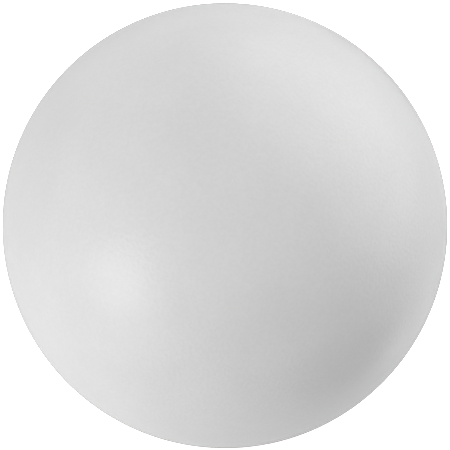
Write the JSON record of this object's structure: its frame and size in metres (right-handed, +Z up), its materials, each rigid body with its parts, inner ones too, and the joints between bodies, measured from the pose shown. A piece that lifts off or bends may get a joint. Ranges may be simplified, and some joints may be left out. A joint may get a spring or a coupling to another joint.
{
  "type": "cue ball",
  "caption": "Plain white cue ball for a billiard table with a magnetic ball return: a resin shell over a thin steel layer and a resin core.",
  "frame": {"origin": "centre of the ball", "axes": "+Z up, square to the plane in which the two steel cups meet; X and Y are any two directions in that plane, because every piece is round about Z"},
  "size_m": [0.0572, 0.0572, 0.0572],
  "materials": {
    "white_resin": "satin",
    "pressed_steel": "satin",
    "core_resin": "matte"
  },
  "bodies": {
    "root": {"outer_shell": "white_resin", "upper_steel_cup": "pressed_steel", "lower_steel_cup": "pressed_steel", "resin_core": "core_resin"}
  },
  "joints": []
}
